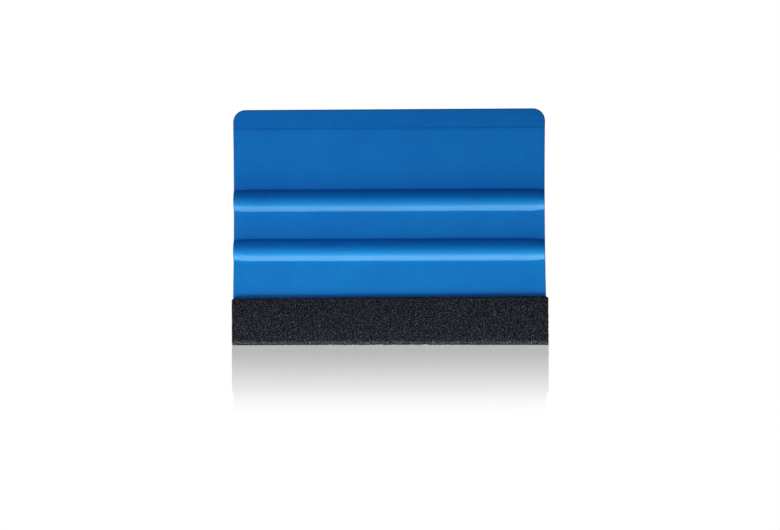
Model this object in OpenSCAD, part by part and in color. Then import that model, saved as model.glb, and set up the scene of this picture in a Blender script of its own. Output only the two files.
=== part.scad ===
// Hand squeegee for laying vinyl film: a moulded plastic blade with two
// finger ribs, and a felt strip glued over its working edge.
// Millimetres. +Z is up, from the felt edge to the thin bevelled edge.
// +X runs along the width, -Y is the front face and +Y the back face.
// Origin: the middle of the felt edge's underside, where the tool stands.

/* [Blade] */
// Width of the blade, side to side
blade_w = 100; // [70:1:150]
// Height of the whole squeegee, felt edge to bevelled edge
overall_h = 74.75; // [72:0.25:110]
// Thickness of the blade between its ribs
blade_t = 2.6; // [2:0.1:3.6]
// Radius of the two corners of the bevelled edge, seen from the front
corner_r = 3.85; // [1:0.05:8]
// How far each side leans in from the felt edge to the bevelled edge
draft_d = 0.46; // [0:0.02:1]
// How far each side curves in at mid-height, where the ribs cool last
waist_d = 0.44; // [0.1:0.02:0.8]
// Radius of the two lower arrises, inside the felt
lower_r = 0.3; // [0.1:0.05:0.5]

/* [Bevelled edge] */
// Height of the band that tapers to the thin edge
bevel_h = 6.35; // [3:0.05:10]
// Thickness at the very edge
bevel_t = 1.4; // [1:0.05:1.8]

/* [Finger ribs] */
// Height of each rib where it meets the flat face
rib_h = 6.9; // [6:0.1:9]
// How far each rib stands out from the flat face
rib_proud = 2.1; // [1:0.1:3]
// Height of the lower rib's centre line
rib_z = 30.2; // [26:0.1:34]
// Distance from the lower rib to the upper one
rib_pitch = 15.7; // [11:0.05:20]
// Number of ribs
rib_count = 2; // [1:1:2]

/* [Felt edge] */
// Width of the felt strip, a little over the blade at each side
felt_w = 100.8; // [70:0.1:151]
// Height of the felt's cut edges on the front and the back
felt_h = 15.1; // [10:0.1:20]
// Thickness of the felt
felt_t = 1.4; // [1:0.1:2]
// Radius of its two outer folds, where it turns under the blade
fold_r = 1.3; // [0.8:0.1:1.6]
// Thickness of the double-sided tape under the felt
tape_t = 0.15; // [0.1:0.05:0.3]
// How far the tape stops short of the felt's cut edges
tape_gap = 0.6; // [0.2:0.1:2]
// How far the tape stops short of each side of the blade
tape_inset = 0.3; // [0.2:0.1:2]

/* [Hidden] */

// Facets of a full circle in a preview
$fn = 96;
// Facets of the very large circles that the sides are arcs of
side_fn = 4000;
// How far a section runs on past the outline that trims it
spare = 1;
// Underside of the blade, above the tape and the felt
blade_low = felt_t + tape_t;
blade_h = overall_h - blade_low;
// Crease where the flat faces end and the bevelled ones start
bevel_z = overall_h - bevel_h;
// Round face of the ribs: an arc that spans rib_h and rises rib_proud, and
// where its centre lies, measured from the middle of the plate
rib_r = (pow(rib_h / 2, 2) + pow(rib_proud, 2)) / (2 * rib_proud);
rib_crest = blade_t / 2 + rib_proud;
rib_y = rib_crest - rib_r;

// Each side is a shallow arc of a very large circle. The arc's middle lies
// waist_d inside the straight line between the side's two ends.
side_lean = atan(draft_d / blade_h);
side_chord = norm([draft_d, blade_h]);
side_r = (pow(side_chord / 2, 2) + pow(waist_d, 2)) / (2 * waist_d);
side_mid_x = (blade_w - draft_d) / 2 - waist_d * cos(side_lean);
side_mid_z = blade_low + blade_h / 2 - waist_d * sin(side_lean);
side_x = side_mid_x + side_r * cos(side_lean);
side_z = side_mid_z + side_r * sin(side_lean);
// The corner circles touch the top, and reach a hair past the side arcs
// that trim them, so that no sliver is left where they meet
hair = 0.005;
corner_z = overall_h - corner_r;
corner_drop = corner_z - side_z;
corner_reach = sqrt(pow(side_r + corner_r, 2) - pow(corner_drop, 2));
corner_x = side_x - corner_reach + hair;

// Spreads a section drawn in Y and Z along X, centred on the origin
module along_width(width) {
    rotate([90, 0, 90])
        linear_extrude(height = width, center = true)
            children();
}

// Spreads an outline drawn in X and Z through Y, centred on the origin
module through_thickness(thickness) {
    rotate([90, 0, 0])
        linear_extrude(height = thickness, center = true)
            children();
}

// Section of an upright slab with rounded lower arrises
module slab_section(thickness, low, high, radius) {
    half = thickness / 2;
    translate([-half, low + radius])
        square([thickness, high - low - radius]);
    translate([radius - half, low])
        square([thickness - 2 * radius, high - low]);
    for (side = [-1, 1])
        translate([side * (half - radius), low + radius])
            circle(r = radius);
}

// Section of the plate, with rounded lower arrises and a tapered upper band
module plate_section() {
    slab_section(blade_t, blade_low, bevel_z, lower_r);
    polygon([
        [-blade_t / 2, bevel_z],
        [blade_t / 2, bevel_z],
        [bevel_t / 2, overall_h],
        [-bevel_t / 2, overall_h],
    ]);
}

// Section of one rib's back half: a round, cut off at the plate's middle
module half_rib_section() {
    intersection() {
        translate([rib_y, 0])
            circle(r = rib_r);
        translate([0, -rib_r - spare])
            square([rib_crest + spare, 2 * (rib_r + spare)]);
    }
}

// Section of the finger ribs, alike on both faces
module rib_section() {
    for (step = [0 : rib_count - 1])
        for (flip = [0, 1])
            mirror([flip, 0])
                translate([0, rib_z + step * rib_pitch])
                    half_rib_section();
}

// Front outline: waisted sides that lean in, and rounded upper corners
module blade_outline() {
    difference() {
        union() {
            translate([-blade_w / 2, blade_low])
                square([blade_w, corner_z - blade_low]);
            translate([-corner_x, blade_low])
                square([2 * corner_x, blade_h]);
            for (side = [-1, 1])
                translate([side * corner_x, corner_z])
                    circle(r = corner_r);
        }
        for (flip = [0, 1])
            mirror([flip, 0])
                translate([side_mid_x, side_mid_z])
                    rotate(side_lean)
                        translate([side_r, 0])
                            circle(r = side_r, $fn = side_fn);
    }
}

// Moulded blade: plate, bevelled edge and ribs in one piece of plastic,
// trimmed to the front outline so that the ribs end flush with the sides
module blade() {
    color([0.10, 0.42, 0.71])
        intersection() {
            along_width(blade_w + 2 * spare) {
                plate_section();
                rib_section();
            }
            through_thickness(2 * (rib_crest + spare))
                blade_outline();
        }
}

// Double-sided tape, folded round the blade's working edge
module adhesive_tape() {
    color([0.86, 0.84, 0.78])
        along_width(blade_w - 2 * tape_inset)
            difference() {
                slab_section(blade_t + 2 * tape_t, felt_t, felt_h - tape_gap, lower_r + tape_t);
                slab_section(blade_t, blade_low, felt_h, lower_r);
            }
}

// One felt strip, folded under the working edge from front to back
module felt_edge() {
    bed_t = blade_t + 2 * tape_t;
    color([0.14, 0.15, 0.17])
        along_width(felt_w)
            difference() {
                slab_section(bed_t + 2 * felt_t, 0, felt_h, fold_r);
                slab_section(bed_t, felt_t, 2 * felt_h, lower_r + tape_t);
            }
}

blade();
adhesive_tape();
felt_edge();
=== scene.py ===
"""Looks of the felt-edged squeegee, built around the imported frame. Lengths are in metres."""
import math

import bpy
import numpy as np
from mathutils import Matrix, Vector, noise


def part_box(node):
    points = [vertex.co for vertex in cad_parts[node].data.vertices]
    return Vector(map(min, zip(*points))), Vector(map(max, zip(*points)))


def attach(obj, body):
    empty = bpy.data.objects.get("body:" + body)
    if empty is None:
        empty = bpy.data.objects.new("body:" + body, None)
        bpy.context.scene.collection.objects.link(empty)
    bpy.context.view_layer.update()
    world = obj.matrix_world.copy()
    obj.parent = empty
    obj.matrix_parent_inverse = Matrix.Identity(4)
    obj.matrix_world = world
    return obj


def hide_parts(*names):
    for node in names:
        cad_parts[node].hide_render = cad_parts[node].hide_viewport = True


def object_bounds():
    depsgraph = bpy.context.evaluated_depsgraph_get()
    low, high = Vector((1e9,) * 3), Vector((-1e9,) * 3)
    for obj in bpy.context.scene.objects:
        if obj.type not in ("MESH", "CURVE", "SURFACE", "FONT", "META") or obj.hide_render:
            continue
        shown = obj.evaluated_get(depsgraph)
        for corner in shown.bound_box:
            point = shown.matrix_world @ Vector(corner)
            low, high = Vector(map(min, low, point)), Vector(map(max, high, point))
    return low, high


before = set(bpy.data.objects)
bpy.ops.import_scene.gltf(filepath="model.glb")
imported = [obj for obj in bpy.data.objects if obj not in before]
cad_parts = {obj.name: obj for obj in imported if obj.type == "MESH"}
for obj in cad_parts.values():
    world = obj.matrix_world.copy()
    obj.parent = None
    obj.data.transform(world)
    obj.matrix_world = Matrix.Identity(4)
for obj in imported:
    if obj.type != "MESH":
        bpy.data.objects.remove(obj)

MM = 0.001
cad_low, cad_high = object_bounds()
blade_low, blade_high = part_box("blade")
felt_low, felt_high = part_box("felt_edge")
tape_low, tape_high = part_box("adhesive_tape")

# Blade sizes that its box doesn't give, the same as in the CAD: half the plate's thickness, half the
# thin edge's, the bevel's height and the upper corners
PLATE_HALF = 1.3 * MM
BEVEL_HALF = 0.7 * MM
BEVEL_H = 6.35 * MM
CORNER_R = 3.85 * MM
# How far each side leans in at the top, and how deep its waist is
DRAFT_D = 0.46 * MM
WAIST_D = 0.44 * MM
# The ribs' height, how far they stand out, and where their centres are
RIB_H = 6.9 * MM
RIB_PROUD = 2.1 * MM
RIB_HEIGHTS = (30.2 * MM, 45.9 * MM)
# Below its crest a rib is a tighter round, then a straight slope this many degrees from upright,
# then a small ledge with a rounded lip that meets the flat face
UNDER_R = 3.65 * MM
UNDER_SLOPE = 38
LIP_R = 0.08 * MM
# Each rib sinks towards its ends: over what length, and by what share of its size
RIB_END = 4.5 * MM
RIB_END_SINK = 0.11
# Small roundings that only the visual blade has
ARRIS_R = 0.36 * MM
ROOT_R = 0.1 * MM
# The slightly steeper lip where the bevel starts, and how far above the CAD's crease it lies
STEP_T = 0.06 * MM
STEP_H = 0.18 * MM
STEP_UP = 0.17 * MM
# Rows of the mesh: their step on the flats, how close they lie to the crease, which they keep
# sharp, and how far above it the first one on the long taper is
FLAT_STEP = 1.2 * MM
CREASE_GAP = 0.04 * MM
TAPER_START = 0.4 * MM

# Felt sizes that its box doesn't give
FOLD_R = 1.3 * MM
INNER_FOLD_R = 0.45 * MM
# The strip's ends and the top edge's height at them: it was stuck on a little to the right, and rises
FELT_SPAN = (-49.85 * MM, 50.32 * MM)
FELT_TOP = (14.9 * MM, 15.3 * MM)
# How unevenly the top edge was cut: how high its waves are, and how long
TOP_WAVE = 0.09 * MM
TOP_WAVE_L = 7 * MM
# Its upper corners are worn down: by how much, and over what width
WORN_H = 0.5 * MM
WORN_W = 1.1 * MM
# The sole is bowed up in the middle of the width, and has lumps: how high, and how long
SOLE_BOW = 0.11 * MM
SOLE_LUMP = 0.09 * MM
SOLE_LUMP_L = 0.8 * MM
# Depth of the needled surface, the level in it that stays on the smooth skin, and the sole's share
NEEDLED_DEPTH = 0.24 * MM
NEEDLED_LEVEL = 0.62
NEEDLED_SOLE = 0.25
# How wide its matted ridges and its finer grain are
RIDGE_W = 1.15 * MM
GRAIN_W = 0.62 * MM
# The felt mesh: its step along and up, and its layers through the thickness
FELT_STEP = 0.34 * MM
FELT_LAYERS = 5

# Loose fibres on the felt: how many, and the points and sides of each one's tube
FIBRES = 7600
FIBRE_JOINTS = 5
FIBRE_SIDES = 3
# The least and the most of a fibre's length, of how far its middle and a raised tip lift off, and of
# its radius, and how many tips are raised
FIBRE_LENGTH = (0.5 * MM, 2.1 * MM)
FIBRE_LIFT = (0.02 * MM, 0.12 * MM)
FIBRE_TIP = (0.1 * MM, 0.35 * MM)
FIBRE_R = (0.016 * MM, 0.030 * MM)
RAISED_TIPS = 0.10
# How far in front of the felt, or behind it, a fibre may reach
FIBRE_PROUD = 0.3 * MM

# The camera, fitted to the outline in the photo: its lens in mm and its angles in degrees
CAMERA_LENS = 116.14
CAMERA_AZIMUTH = 3.09
CAMERA_ROLL = -0.167
CAMERA_DISTANCE = 0.798
CAMERA_RIGHT = 0.28 * MM
CAMERA_HEIGHT = 25.36 * MM

# Radiance of the light from straight below, from two low lamps each side, and from the horizon and sky
BELOW, LAMPS, HORIZON, SKY = 11.8, 3.4, 1.0, 0.06
# How far from the tool the floor stops mirroring it, and its share of mirror at the tool's foot
MIRROR_REACH = 0.365
MIRROR_SHARE = 0.80
WHITE = (1, 1, 1, 1)
LAMP_BLUE = (1, 1, 1.3)


# ------------------------------------------------------------------ mesh tools

def linked(name, data):
    """An object in the scene for a mesh, a camera or a light."""
    thing = bpy.data.objects.new(name, data)
    bpy.context.scene.collection.objects.link(thing)
    return thing


def mesh_object(name, vertices, faces):
    """A linked, smooth-shaded mesh object."""
    mesh = bpy.data.meshes.new(name)
    mesh.from_pydata(np.asarray(vertices).tolist(), [], np.asarray(faces).tolist())
    mesh.update()
    mesh.shade_smooth()
    return linked(name, mesh)


def vertex_arrays(thing):
    """The mesh's vertex places and normals."""
    count = len(thing.data.vertices)
    places, normals = np.empty(3 * count), np.empty(3 * count)
    thing.data.vertices.foreach_get("co", places)
    thing.data.vertices.foreach_get("normal", normals)
    return places.reshape(-1, 3), normals.reshape(-1, 3)


def add_mask(thing, name, values):
    """A number on each vertex, which the piece's material reads by name."""
    mask = thing.data.attributes.new(name, "FLOAT", "POINT")
    mask.data.foreach_set("value", np.asarray(values, dtype=np.float32))


def arc(centre, radius, start, end, count):
    """Points along an arc, between two angles in degrees."""
    angles = np.radians(np.linspace(start, end, count))
    return [(centre[0] + radius * math.cos(a), centre[1] + radius * math.sin(a)) for a in angles]


def straight(start, end, step):
    """Points between two others, which are both left out, about step apart."""
    count = max(1, round(math.dist(start, end) / step))
    return [tuple(np.array(start) + (np.array(end) - start) * i / count) for i in range(1, count)]


def bridge(inner, outer, flip):
    """Quads between two closed rings of vertex numbers."""
    quads = []
    for k in range(len(inner)):
        following = (k + 1) % len(inner)
        quad = [inner[k], outer[k], outer[following], inner[following]]
        quads.append(quad[::-1] if flip else quad)
    return quads


# ------------------------------------------------------------------ blade

class Outline:
    """Front outline of the blade: two shallow side arcs and two corner circles."""

    def __init__(self):
        height = blade_high.z - blade_low.z
        lean = math.atan(DRAFT_D / height)
        chord = math.hypot(DRAFT_D, height)
        self.side_r = ((chord / 2) ** 2 + WAIST_D ** 2) / (2 * WAIST_D)
        away = self.side_r - WAIST_D
        self.side_x = blade_high.x - DRAFT_D / 2 + away * math.cos(lean)
        self.side_z = blade_low.z + height / 2 + away * math.sin(lean)
        self.corner_z = blade_high.z - CORNER_R
        drop = self.corner_z - self.side_z
        self.corner_x = self.side_x - math.sqrt((self.side_r + CORNER_R) ** 2 - drop ** 2)
        self.tangent_z = self.corner_z - CORNER_R * drop / (self.side_r + CORNER_R)

    def half_width(self, z, inset):
        """Half the width at height z, on the outline moved inwards by inset."""
        if z <= self.tangent_z:
            return self.side_x - math.sqrt((self.side_r + inset) ** 2 - (z - self.side_z) ** 2)
        radius = CORNER_R - inset
        rise = min(z - self.corner_z, radius)
        return self.corner_x + math.sqrt(radius ** 2 - rise ** 2)

    def outward(self, x, z):
        """Direction (x, z) straight out of the outline, near a point of its right half."""
        if z <= self.tangent_z:
            away = np.array([self.side_x - x, self.side_z - z])
        else:
            away = np.array([x - self.corner_x, z - self.corner_z])
        return away / np.linalg.norm(away)


def rib_profile(rib_z):
    """Points up one rib: ledge, lip, straight slope, tight lower round, wide upper round, root fillet."""
    crest = PLATE_HALF + RIB_PROUD
    slope = math.radians(UNDER_SLOPE)
    bottom = rib_z - RIB_H / 2
    bend_t, bend_z = arc((crest - UNDER_R, rib_z), UNDER_R, -UNDER_SLOPE, 0, 2)[0]
    ledge_t = bend_t - (bend_z - bottom) * math.tan(slope)
    lip_t = ledge_t + LIP_R * (math.tan(slope) - 1 / math.cos(slope))
    ledge = arc((PLATE_HALF + LIP_R, bottom - LIP_R), LIP_R, 180, 90, 4)
    lip = arc((lip_t, bottom + LIP_R), LIP_R, -90, -UNDER_SLOPE, 4)
    underside = straight(lip[-1], (bend_t, bend_z), 0.3 * MM)
    lower = arc((crest - UNDER_R, rib_z), UNDER_R, -UNDER_SLOPE, 0, 15)
    upper_r = ((RIB_H / 2) ** 2 + RIB_PROUD ** 2) / (2 * RIB_PROUD)
    root_t = PLATE_HALF + ROOT_R
    reach = root_t - (crest - upper_r)
    turn = math.degrees(math.acos(reach / (upper_r + ROOT_R)))
    high_root_z = rib_z + math.sqrt((upper_r + ROOT_R) ** 2 - reach ** 2)
    upper = arc((crest - upper_r, rib_z), upper_r, 0, turn, 20)[1:-1]
    high_root = arc((root_t, high_root_z), ROOT_R, 180 + turn, 180, 6)
    return ledge + lip + underside + lower + upper + high_root


def bevel_heights(outline, crease_z):
    """Heights of the rows from the crease up to the arris along the blade's top."""
    corner_r = CORNER_R - ARRIS_R
    lip = [crease_z - CREASE_GAP, crease_z + CREASE_GAP, crease_z + STEP_H]
    taper = np.linspace(crease_z + TAPER_START, outline.tangent_z, 4)
    corner = [outline.corner_z + corner_r * math.sin(a) for a in np.radians(np.linspace(6, 90, 13))]
    return [*lip, *taper, *corner]


def bevel_point(z, crease_z):
    """A point (half thickness, height) of the bevel: a short steeper lip, then the long taper."""
    climb = max(0, z - crease_z)
    lip_t = STEP_T * min(1, climb / STEP_H)
    taper = max(0, climb - STEP_H) / (BEVEL_H - STEP_UP - STEP_H)
    return PLATE_HALF - lip_t + (BEVEL_HALF - PLATE_HALF + STEP_T) * taper, z


def blade_profile(outline):
    """Points (half thickness, height) up one face, and the number of the rib each is on, or -1."""
    crease = (PLATE_HALF, blade_high.z - BEVEL_H + STEP_UP)
    points = [(PLATE_HALF, blade_low.z + ARRIS_R)]
    ribs = [-1]
    for number, rib_z in enumerate(RIB_HEIGHTS):
        rib = rib_profile(rib_z)
        flat = straight(points[-1], rib[0], FLAT_STEP)
        points += flat + rib
        ribs += [-1] * len(flat) + [number] * len(rib)
    points += straight(points[-1], crease, FLAT_STEP)
    points += [bevel_point(z, crease[1]) for z in bevel_heights(outline, crease[1])]
    ribs += [-1] * (len(points) - len(ribs))
    return np.array(points), ribs


def blade_spread():
    """The columns' places across the blade, from -1 to 1, closer together where the ribs sink."""
    finer_from = 1 - 1.2 * RIB_END / blade_high.x
    right = np.linspace(finer_from, 1, 12)
    middle = np.linspace(-finer_from, finer_from, 72)[1:-1]
    return np.concatenate([-right[::-1], middle, right])


def grid_border(rows, columns):
    """The places (row, column) round a grid's border, anticlockwise from the lower left."""
    border = [(0, i) for i in range(columns)]
    border += [(j, columns - 1) for j in range(1, rows)]
    border += [(rows - 1, i) for i in range(columns - 2, -1, -1)]
    border += [(j, 0) for j in range(rows - 2, 0, -1)]
    return border


def sink_rib_end(t, z, rib_z, from_side):
    """A point of a rib, drawn in towards the rib's middle when it is near the blade's side."""
    near = max(0, 1 - from_side / RIB_END)
    keep = 1 - RIB_END_SINK * near ** 2
    return PLATE_HALF + (t - PLATE_HALF) * keep, rib_z + (z - rib_z) * keep


class BladeMesh:
    """The blade's mesh as it grows: two gridded faces, a rounded arris round each, and the side wall."""

    def __init__(self):
        self.outline = Outline()
        self.profile, self.ribs = blade_profile(self.outline)
        self.spread = blade_spread()
        self.border = grid_border(len(self.profile), len(self.spread))
        self.vertices, self.faces, self.edge = [], [], []

    def add_vertex(self, place, edge):
        """Adds a vertex. Its edge mask is above 0 only on the arris, and 1 where that meets the wall."""
        self.vertices.append(tuple(place))
        self.edge.append(edge)
        return len(self.vertices) - 1

    def add_face(self, face_sign):
        """The grid of one face, the front where face_sign is -1. Returns its border's vertices."""
        columns = len(self.spread)
        base = len(self.vertices)
        for (t, z), rib in zip(self.profile, self.ribs):
            half = self.outline.half_width(z, ARRIS_R)
            for u in self.spread:
                place = (t, z)
                if rib >= 0:
                    place = sink_rib_end(t, z, RIB_HEIGHTS[rib], (1 - abs(u)) * half)
                self.add_vertex((u * half, face_sign * place[0], place[1]), 0)
        for j in range(len(self.profile) - 1):
            for i in range(columns - 1):
                corner = base + j * columns + i
                quad = [corner, corner + 1, corner + columns + 1, corner + columns]
                self.faces.append(quad if face_sign < 0 else quad[::-1])
        return [base + j * columns + i for j, i in self.border]

    def outward(self, row, column, x, z):
        """Direction (x, z) straight out of the blade, at a place on the grid's border."""
        side = math.copysign(1, x)
        at_side = column in (0, len(self.spread) - 1)
        if row == 0:
            return (side if at_side else 0), -1
        if row == len(self.profile) - 1 and not at_side:
            return 0, 1
        return self.outline.outward(abs(x), z) * (side, 1)

    def add_arris(self, ring, face_sign):
        """The rounded arris round one face. Returns its last ring, where the side wall starts."""
        inner = ring
        for angle in np.radians(np.linspace(0, 90, 6))[1:]:
            reach, sink = ARRIS_R * math.sin(angle), ARRIS_R * (1 - math.cos(angle))
            outer = []
            for (row, column), start in zip(self.border, ring):
                x, y, z = self.vertices[start]
                out = self.outward(row, column, x, z)
                place = (x + out[0] * reach, face_sign * (abs(y) - sink), z + out[1] * reach)
                outer.append(self.add_vertex(place, math.sin(angle)))
            self.faces += bridge(inner, outer, face_sign > 0)
            inner = outer
        return inner

    def add_side_wall(self, front, back):
        """The wall between the front arris and the back one, in four strips."""
        inner = front
        for part in (0.25, 0.5, 0.75):
            outer = []
            for near, far in zip(front, back):
                place = Vector(self.vertices[near]).lerp(Vector(self.vertices[far]), part)
                outer.append(self.add_vertex(place, 0))
            self.faces += bridge(inner, outer, False)
            inner = outer
        self.faces += bridge(inner, back, False)


def make_blade():
    """The moulded blade: one closed mesh."""
    mesh = BladeMesh()
    front, back = [mesh.add_arris(mesh.add_face(face_sign), face_sign) for face_sign in (-1, 1)]
    mesh.add_side_wall(front, back)
    blade = mesh_object("blade_moulding", mesh.vertices, mesh.faces)
    add_mask(blade, "edge", mesh.edge)
    return blade


# ------------------------------------------------------------------ felt

def felt_section():
    """Matching points (y, z) on the felt's outer and inner skins, from front cut edge to back one."""
    top = felt_high.z
    legs = round((top - FOLD_R) / FELT_STEP)
    outer = (felt_high.y, felt_low.z, FOLD_R)
    inner = (tape_high.y, tape_low.z, INNER_FOLD_R)
    skins = []
    for reach, base, radius in (outer, inner):
        leg = [(-reach, z) for z in np.linspace(top, base + radius, legs)]
        fold = arc((radius - reach, base + radius), radius, 180, 270, 7)[1:]
        half_sole = [(y, base) for y in np.linspace(radius - reach, 0, 6)[1:]]
        front = leg + fold + half_sole
        skins.append(front + [(-y, z) for y, z in reversed(front[:-1])])
    return np.array(skins)


def lumps(point, size, seed):
    """Smooth noise from about -1 to 1, in lumps of a given size."""
    return noise.noise(Vector(point) / size + Vector((seed, 2 * seed, -seed)))


def felt_height(point):
    """Height of the needled surface, from 0 in the pits to 1 on the matted ridges."""
    ridges = 1 - 2.2 * abs(lumps(point, RIDGE_W, 3.7))
    grain = lumps(point, GRAIN_W, 11.3)
    return min(1, max(0, 0.42 + 0.36 * ridges + 0.42 * grain))


def felt_place(x, y, z):
    """A point of the straight strip, moved to where the real strip's uneven edges put it."""
    share = (x - FELT_SPAN[0]) / (FELT_SPAN[1] - FELT_SPAN[0])
    top = FELT_TOP[0] + (FELT_TOP[1] - FELT_TOP[0]) * share
    top += TOP_WAVE * lumps((x, y, 0), TOP_WAVE_L, 1.9)
    from_end = min(x - FELT_SPAN[0], FELT_SPAN[1] - x)
    top -= WORN_H * max(0, 1 - from_end / WORN_W) ** 2
    return np.array([x, y, z * (top / felt_high.z)])


def sole_height(x):
    """How far the sole is off the floor, at a place along the width."""
    bow = SOLE_BOW * (1 - (x / felt_high.x) ** 2)
    return felt_low.z + max(0, bow + SOLE_LUMP * lumps((x, 0, 0), SOLE_LUMP_L, 5.3))


def felt_slab():
    """The smooth folded strip, a closed slab of quads, and the vertices on its inner skin."""
    skins = felt_section()
    xs = np.linspace(*FELT_SPAN, round((FELT_SPAN[1] - FELT_SPAN[0]) / FELT_STEP))
    index, vertices, faces = {}, [], []

    def vertex(i, s, w):
        """Number of the vertex at a station along, a point of the section and a layer."""
        if (i, s, w) not in index:
            y, z = skins[0, s] + (skins[1, s] - skins[0, s]) * w / FELT_LAYERS
            index[i, s, w] = len(vertices)
            vertices.append(felt_place(xs[i], y, z))
        return index[i, s, w]

    def sheet_of(place, rows, columns, flip):
        """One side of the slab: place gives the station, point and layer at a row and column."""
        for a in range(rows):
            for b in range(columns):
                quad = [vertex(*place(a, b)), vertex(*place(a, b + 1))]
                quad += [vertex(*place(a + 1, b + 1)), vertex(*place(a + 1, b))]
                faces.append(quad[::-1] if flip else quad)

    last_x, last_s, last_w = len(xs) - 1, skins.shape[1] - 1, FELT_LAYERS
    sheet_of(lambda a, b: (a, b, 0), last_x, last_s, False)
    sheet_of(lambda a, b: (a, b, last_w), last_x, last_s, True)
    sheet_of(lambda a, b: (a, 0, b), last_x, last_w, True)
    sheet_of(lambda a, b: (a, last_s, b), last_x, last_w, False)
    sheet_of(lambda a, b: (0, a, b), last_s, last_w, False)
    sheet_of(lambda a, b: (last_x, a, b), last_s, last_w, True)
    inner = [number for (_, _, w), number in index.items() if w == last_w]
    return mesh_object("felt_strip", vertices, faces), inner


def make_felt():
    """One felt strip folded under the blade, with a needled surface and an uneven sole."""
    felt, inner = felt_slab()
    places, normals = vertex_arrays(felt)
    heights = np.array([felt_height(place) for place in places])
    shares = np.where(normals[:, 2] < -0.5, NEEDLED_SOLE, 1)
    shares[inner] = 0
    places += normals * ((heights - NEEDLED_LEVEL) * NEEDLED_DEPTH * shares)[:, None]
    places[:, 2] = np.maximum(places[:, 2], [sole_height(x) for x in places[:, 0]])
    felt.data.vertices.foreach_set("co", places.ravel())
    felt.data.update()
    return felt


def fibre(rng, root, normal):
    """One loose fibre from a root on the felt: the points round its tube, and its tone."""
    heading = rng.normal(size=3)
    heading -= normal * (heading @ normal)
    heading /= np.linalg.norm(heading)
    length = rng.uniform(*FIBRE_LENGTH)
    reach = root + length * heading
    if not (FELT_SPAN[0] < reach[0] < FELT_SPAN[1] and 0 < reach[2] < FELT_TOP[0]):
        heading, length = -heading, length / 2
    sideways = np.cross(normal, heading)
    bend = rng.normal() * 1.1
    lift = rng.uniform(*FIBRE_LIFT)
    tip = (rng.random() < RAISED_TIPS) * rng.uniform(*FIBRE_TIP)
    radius = rng.uniform(*FIBRE_R)
    tone = rng.random() ** 2.2
    # It stays above the floor, and close to the felt in front and behind
    tube = []
    for t in np.linspace(0, 1, FIBRE_JOINTS):
        turn = bend * t
        centre = root + length * t * (heading * math.cos(turn) + sideways * math.sin(turn))
        centre = centre + normal * (lift * math.sin(math.pi * t) + tip * t ** 2)
        centre[1] = min(max(centre[1], felt_low.y - FIBRE_PROUD), felt_high.y + FIBRE_PROUD)
        centre[2] = max(centre[2], felt_low.z + radius)
        for angle in 2 * math.pi * np.arange(FIBRE_SIDES) / FIBRE_SIDES:
            ring = sideways * math.cos(angle) + normal * math.sin(angle)
            tube.append(centre + ring * radius * (1 - 0.6 * t))
    return tube, tone


def make_fuzz(felt, count):
    """Loose fibres on the felt: thin tubes that lie on it and lift off here and there."""
    rng = np.random.default_rng(7)
    points, normals = vertex_arrays(felt)
    # They root in the outer skin, clear of the tape, and in the sole
    outside = np.flatnonzero((np.abs(points[:, 1]) > tape_high.y + 0.2 * MM) | (points[:, 2] < 1 * MM))
    vertices, faces, tones = [], [], []
    for root in rng.choice(outside, count):
        start = len(vertices)
        tube, tone = fibre(rng, points[root], normals[root])
        vertices += tube
        tones += [tone] * len(tube)
        for k in range(FIBRE_JOINTS - 1):
            ring = start + k * FIBRE_SIDES
            for side in range(FIBRE_SIDES):
                a, b = ring + side, ring + (side + 1) % FIBRE_SIDES
                faces.append([a, b, b + FIBRE_SIDES, a + FIBRE_SIDES])
    fuzz = mesh_object("felt_fuzz", vertices, faces)
    add_mask(fuzz, "tone", tones)
    return fuzz


# ------------------------------------------------------------------ node tools

class Graph:
    """A node tree, with short calls for its nodes and links."""

    def __init__(self, tree):
        self.tree = tree

    def add(self, kind, values=None, **settings):
        """A node. Inputs are given by name or number, as a value or as another node's output."""
        node = self.tree.nodes.new("ShaderNode" + kind)
        for key, value in settings.items():
            setattr(node, key, value)
        for key, value in (values or {}).items():
            self.feed(node.inputs[key], value)
        return node

    def feed(self, socket, value):
        """Gives an input its value, or links it to another node's output."""
        if isinstance(value, bpy.types.NodeSocket):
            self.tree.links.new(value, socket)
        else:
            socket.default_value = value

    def math(self, operation, a, b=0.0):
        """One operation on one or two numbers."""
        return self.add("Math", {0: a, 1: b}, operation=operation).outputs[0]

    def plus(self, a, b):
        return self.math("ADD", a, b)

    def times(self, a, b):
        return self.math("MULTIPLY", a, b)

    def remap(self, value, from_low, from_high, to_low=0.0, to_high=1.0, **settings):
        """One range of values carried over to another, and held at its ends."""
        return self.add("MapRange", {
            "Value": value, "From Min": from_low, "From Max": from_high,
            "To Min": to_low, "To Max": to_high,
        }, **settings).outputs["Result"]

    def smooth(self, *values):
        """A remap that eases in and out."""
        return self.remap(*values, interpolation_type="SMOOTHSTEP")

    def blend(self, share, first, second):
        """Mixes two colours."""
        node = self.add("Mix", data_type="RGBA")
        self.feed(node.inputs["Factor"], share)
        self.feed(node.inputs["A"], first)
        self.feed(node.inputs["B"], second)
        return node.outputs["Result"]


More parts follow.
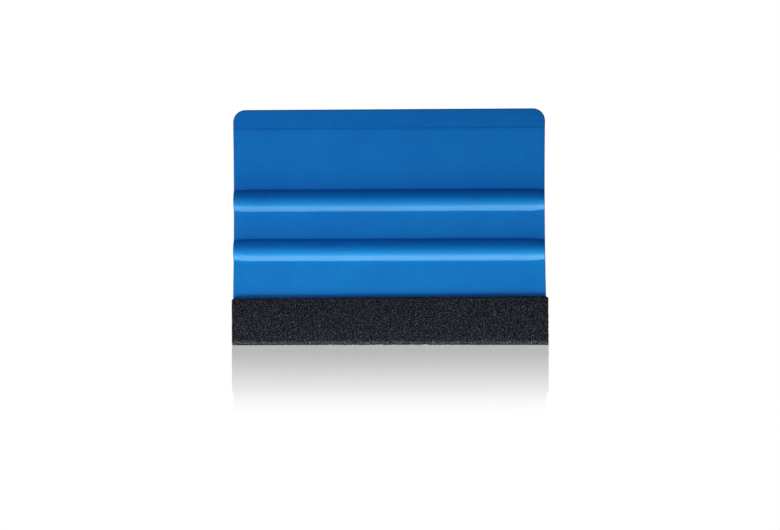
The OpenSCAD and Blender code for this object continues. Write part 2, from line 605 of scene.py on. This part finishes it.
class Nodes(Graph):
    """The nodes of a new material."""

    def __init__(self, name):
        self.material = bpy.data.materials.new(name)
        self.material.use_nodes = True
        super().__init__(self.material.node_tree)
        self.shader = self.tree.nodes["Principled BSDF"]

    def set(self, **values):
        """Sets or links the shader's inputs; a name's underscores stand for spaces."""
        for key, value in values.items():
            self.feed(self.shader.inputs[key.replace("_", " ")], value)

    def place(self):
        """Places in the shared frame, in metres."""
        return self.add("TexCoord").outputs["Object"]

    def mapped(self, place, **settings):
        """Places scaled or moved: each setting is one of the Mapping node's inputs."""
        return self.add("Mapping", {"Vector": place, **settings}).outputs[0]

    def mask(self, name):
        """A number that add_mask put on the vertices."""
        return self.add("Attribute", attribute_name=name).outputs["Fac"]

    def noise(self, place, size, detail):
        """Noise from 0 to 1 in lumps of a given size."""
        node = self.add("TexNoise", {"Vector": place, "Scale": 1 / size, "Detail": detail})
        return node.outputs["Fac"]

    def bump(self, height, distance, under=None):
        """A normal from a height, on top of another normal if one is given."""
        node = self.add("Bump", {"Height": height, "Distance": distance})
        if under is not None:
            self.feed(node.inputs["Normal"], under)
        return node.outputs["Normal"]


# ------------------------------------------------------------------ materials

def blade_color(n, place, mottle, edge):
    """Uneven blue with dust specks, and painted shade that darkens the rounded arrises."""
    cloud = n.noise(place, 16 * MM, 2)
    uneven = n.plus(n.remap(cloud, 0.3, 0.7, 0, 0.4), n.remap(mottle, 0.25, 0.75, 0, 0.6))
    color = n.blend(uneven, (0.0024, 0.179, 0.604, 1), (0.0032, 0.245, 0.680, 1))
    dot = n.add("TexVoronoi", {"Vector": place, "Scale": 1 / (2.6 * MM)}).outputs["Distance"]
    speck = n.remap(dot, 0.035, 0.06, 0.35, 0)
    color = n.blend(speck, color, (0.004, 0.10, 0.27, 1))
    # Painted shade: the arrises turn a darker blue, as if they faced away from the light
    return n.blend(n.remap(edge, 0.1, 0.7, 0, 0.9), color, (0.003, 0.098, 0.29, 1))


def blade_material():
    """Satin moulded polypropylene: fine spark texture, drag scratches, specks, and dull arrises darkened
    by painted shade.
    """
    n = Nodes("moulded_blue")
    place = n.place()
    mottle = n.noise(place, 0.8 * MM, 2)
    edge = n.mask("edge")
    rubbed = n.remap(mottle, 0.35, 0.65, 0.39, 0.45)
    n.set(Base_Color=blade_color(n, place, mottle, edge), Roughness=n.plus(rubbed, n.times(edge, 0.3)))
    # The satin skin doesn't turn to a mirror where it is seen almost edge on
    facing = n.add("LayerWeight", {"Blend": 0.5}).outputs["Facing"]
    satin = n.remap(facing, 0.54, 0.72, 1, 0)
    n.set(Specular_IOR_Level=n.times(satin, n.remap(edge, 0.1, 0.7, 0.27, 0.02)))
    # Long faint scratches from being drawn along films, over a fine spark-eroded grain
    scratches = n.noise(n.mapped(place, Scale=(0.06, 1, 1)), 0.35 * MM, 3)
    grain = n.noise(place, 0.11 * MM, 2)
    n.set(Normal=n.bump(grain, 0.004 * MM, under=n.bump(scratches, 0.012 * MM)))
    return n.material


def felt_strands(n, laid):
    """How many strands cross at a place: thin lines along the middle level of three noises."""
    strands = None
    for size, width, weight in ((0.6 * MM, 0.035, 0.5), (0.42 * MM, 0.05, 0.45), (0.9 * MM, 0.022, 0.4)):
        moved = n.mapped(laid, Location=(size, 3 * size, -size))
        off = n.math("ABSOLUTE", n.math("SUBTRACT", n.noise(moved, size, 2), 0.5))
        strand = n.remap(off, 0, width, weight, 0)
        strands = strand if strands is None else n.plus(strands, strand)
    return strands


def felt_material():
    """Charcoal needled felt: a mat of fine light fibres over dark pits, lighter near the sole with dust
    and a painted sheen.
    """
    n = Nodes("charcoal_felt")
    place = n.place()
    laid = n.mapped(place, Scale=(0.75, 1, 1.2))
    raised = n.remap(n.noise(laid, 0.32 * MM, 1), 0.45, 0.68)
    strands = felt_strands(n, laid)
    share = n.times(raised, n.plus(n.times(raised, 0.35), n.times(strands, 0.9)))
    color = n.blend(share, (0.0044, 0.0046, 0.0067, 1), (0.118, 0.124, 0.183, 1))
    # The lowest 1.7 mm, but not the sole itself, is lighter: dust, and a painted sheen where the fold
    # catches light from below
    height = n.add("SeparateXYZ", {0: place}).outputs["Z"]
    low_down = n.remap(height, 0.6 * MM, 1.7 * MM, 0.85, 0)
    off_sole = n.remap(height, 0, 0.8 * MM, 0.1, 1)
    dust_and_sheen = n.times(n.times(low_down, off_sole), n.plus(share, 0.12))
    color = n.blend(dust_and_sheen, color, (0.155, 0.155, 0.208, 1))
    n.set(Base_Color=color, Roughness=0.95, Specular_IOR_Level=0.0)
    n.set(Normal=n.bump(share, 0.05 * MM))
    return n.material


def fuzz_material():
    """Single fibres of the felt, from near black to mid grey."""
    n = Nodes("charcoal_fibre")
    color = n.blend(n.mask("tone"), (0.0012, 0.0013, 0.0018, 1), (0.16, 0.175, 0.205, 1))
    n.set(Base_Color=color, Roughness=0.8, Specular_IOR_Level=0.02)
    return n.material


def tape_material():
    """Off-white double-sided film with a glue that is a little uneven."""
    n = Nodes("tape_film")
    cloud = n.noise(n.place(), 1.5 * MM, 3)
    n.set(Base_Color=n.blend(cloud, (0.62, 0.57, 0.45, 1), (0.72, 0.69, 0.60, 1)), Roughness=0.35)
    n.set(Normal=n.bump(cloud, 0.02 * MM))
    return n.material


# ------------------------------------------------------------------ stage

def make_camera():
    """A level camera, a little to the right of straight in front."""
    azimuth = math.radians(CAMERA_AZIMUTH)
    camera = bpy.data.cameras.new("camera")
    camera.sensor_width = 36
    camera.lens = CAMERA_LENS
    camera.clip_start, camera.clip_end = 0.01, 50
    thing = linked("camera", camera)
    right = Vector((math.cos(azimuth), math.sin(azimuth), 0))
    back = Vector((math.sin(azimuth), -math.cos(azimuth), 0))
    thing.location = back * CAMERA_DISTANCE + right * CAMERA_RIGHT + Vector((0, 0, CAMERA_HEIGHT))
    thing.rotation_mode = "XYZ"
    thing.rotation_euler = (math.radians(90), 0, azimuth)
    thing.rotation_euler.rotate_axis("Z", math.radians(CAMERA_ROLL))
    bpy.context.scene.camera = thing


def make_floor():
    """White floor that mirrors the tool near its foot. Only the camera sees it: it casts no light."""
    half = 12
    corners = [(-half, -half, 0), (half, -half, 0), (half, half, 0), (-half, half, 0)]
    floor = mesh_object("floor", corners, [(0, 1, 2, 3)])
    floor.visible_diffuse = floor.visible_glossy = floor.visible_shadow = False
    n = Nodes("white_floor")
    distance = n.add("VectorMath", {0: n.place()}, operation="LENGTH").outputs["Value"]
    faded = n.math("POWER", n.remap(distance, 0, MIRROR_REACH), 2.2)
    near = n.remap(faded, 0, 1, MIRROR_SHARE, 0)
    fresnel = n.add("Fresnel", {"IOR": 1.45}).outputs[0]
    share = n.times(near, n.math("POWER", fresnel, 2))
    glow = n.add("Emission", {"Color": WHITE, "Strength": 1})
    mirror = n.add("BsdfAnisotropic", {"Color": WHITE, "Roughness": 0.0})
    both = n.add("MixShader", {0: share, 1: glow.outputs[0], 2: mirror.outputs[0]})
    n.feed(n.tree.nodes["Material Output"].inputs["Surface"], both.outputs[0])
    n.tree.nodes.remove(n.shader)
    floor.data.materials.append(n.material)


def studio_light(n):
    """Colour and radiance by direction: straight below, two low lamps each side, horizon and sky."""
    split = n.add("SeparateXYZ", {0: n.add("TexCoord").outputs["Generated"]})
    up = split.outputs["Z"]
    along_y = n.math("ABSOLUTE", split.outputs["Y"])
    below = n.smooth(up, -0.95, -0.92, BELOW, 0)
    lamp_height = n.times(n.smooth(up, -0.60, -0.54), n.smooth(up, -0.24, -0.18, 1, 0))
    lamp_width = n.times(n.smooth(along_y, 0.20, 0.28), n.smooth(along_y, 0.66, 0.76, 1, 0))
    lamps = n.times(n.times(lamp_height, lamp_width), LAMPS)
    above = n.times(n.smooth(up, 0.0, 0.01), n.smooth(up, 0.06, 0.11, HORIZON, SKY))
    # Slightly yellow from straight below, and blue from the sides and above
    color = n.blend(n.smooth(up, -0.95, -0.2), (0.97, 1.08, 0.66, 1), (1, 1, 1.42, 1))
    return color, n.plus(n.plus(below, lamps), above)


def make_world():
    """White to the camera and in the floor's mirror. To the tool it is the studio's soft light."""
    world = bpy.data.worlds.new("studio")
    bpy.context.scene.world = world
    world.use_nodes = True
    n = Graph(world.node_tree)
    color, strength = studio_light(n)
    path = n.add("LightPath").outputs
    seen = n.math("MAXIMUM", path["Is Camera Ray"], path["Is Singular Ray"])
    background = world.node_tree.nodes["Background"]
    n.feed(background.inputs["Color"], n.blend(seen, color, WHITE))
    shown = n.add("Mix", {"Factor": seen, "A": strength, "B": 1.0}, data_type="FLOAT")
    n.feed(background.inputs["Strength"], shown.outputs[0])


def area_light(name, width, depth, power, color):
    """A rectangular area light that the camera doesn't see."""
    light = bpy.data.lights.new(name, "AREA")
    light.shape = "RECTANGLE"
    light.size, light.size_y = width, depth
    light.energy = power
    light.color = color
    thing = linked(name, light)
    thing.visible_camera = False
    return thing


def strip_light(name, near, far, radiance):
    """An upward light that lies on the floor, between two distances from the tool: front is negative."""
    width, depth = 0.16, abs(far - near)
    thing = area_light(name, width, depth, radiance * math.pi * width * depth, (0.92, 1, 0.70))
    thing.location = (0, (near + far) / 2, 0.3 * MM)
    thing.rotation_euler = (math.pi, 0, 0)


def side_lamp(power):
    """A soft round lamp to the left of the tool and a little in front of it."""
    size = 0.12
    thing = area_light("side_lamp", size, size, power, LAMP_BLUE)
    thing.data.shape = "DISK"
    thing.location = (-0.30, -0.20, 0.08)
    aim = Vector((0, 0, 0.05)) - thing.location
    thing.rotation_euler = aim.to_track_quat("-Z", "Y").to_euler()


def edge_lamp(power):
    """A beam straight down onto the blade's thin top edge, too narrow to light the ribs."""
    thing = area_light("edge_lamp", 0.102, 0.9 * MM, power, LAMP_BLUE)
    thing.data.spread = math.radians(1)
    thing.location = (0, 0, cad_high.z + 10 * MM)
    thing.visible_glossy = False


# ------------------------------------------------------------------ build

make_camera()
make_floor()
make_world()
side_lamp(0.205)
edge_lamp(1.5e-4)
for side, sign in (("front", -1), ("back", 1)):
    strip_light(side + "_near", sign * 3 * MM, sign * 30 * MM, 1.75)
    strip_light(side + "_mid", sign * 30 * MM, sign * 60 * MM, 0.5)

blade = make_blade()
blade.data.materials.append(blade_material())
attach(blade, "root")
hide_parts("blade")

felt = make_felt()
felt.data.materials.append(felt_material())
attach(felt, "root")
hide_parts("felt_edge")
fuzz = make_fuzz(felt, FIBRES)
fuzz.data.materials.append(fuzz_material())
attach(fuzz, "root")

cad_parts["adhesive_tape"].data.materials[0] = tape_material()

# No film curve, so that a white background stays white
bpy.context.scene.view_settings.view_transform = "Standard"
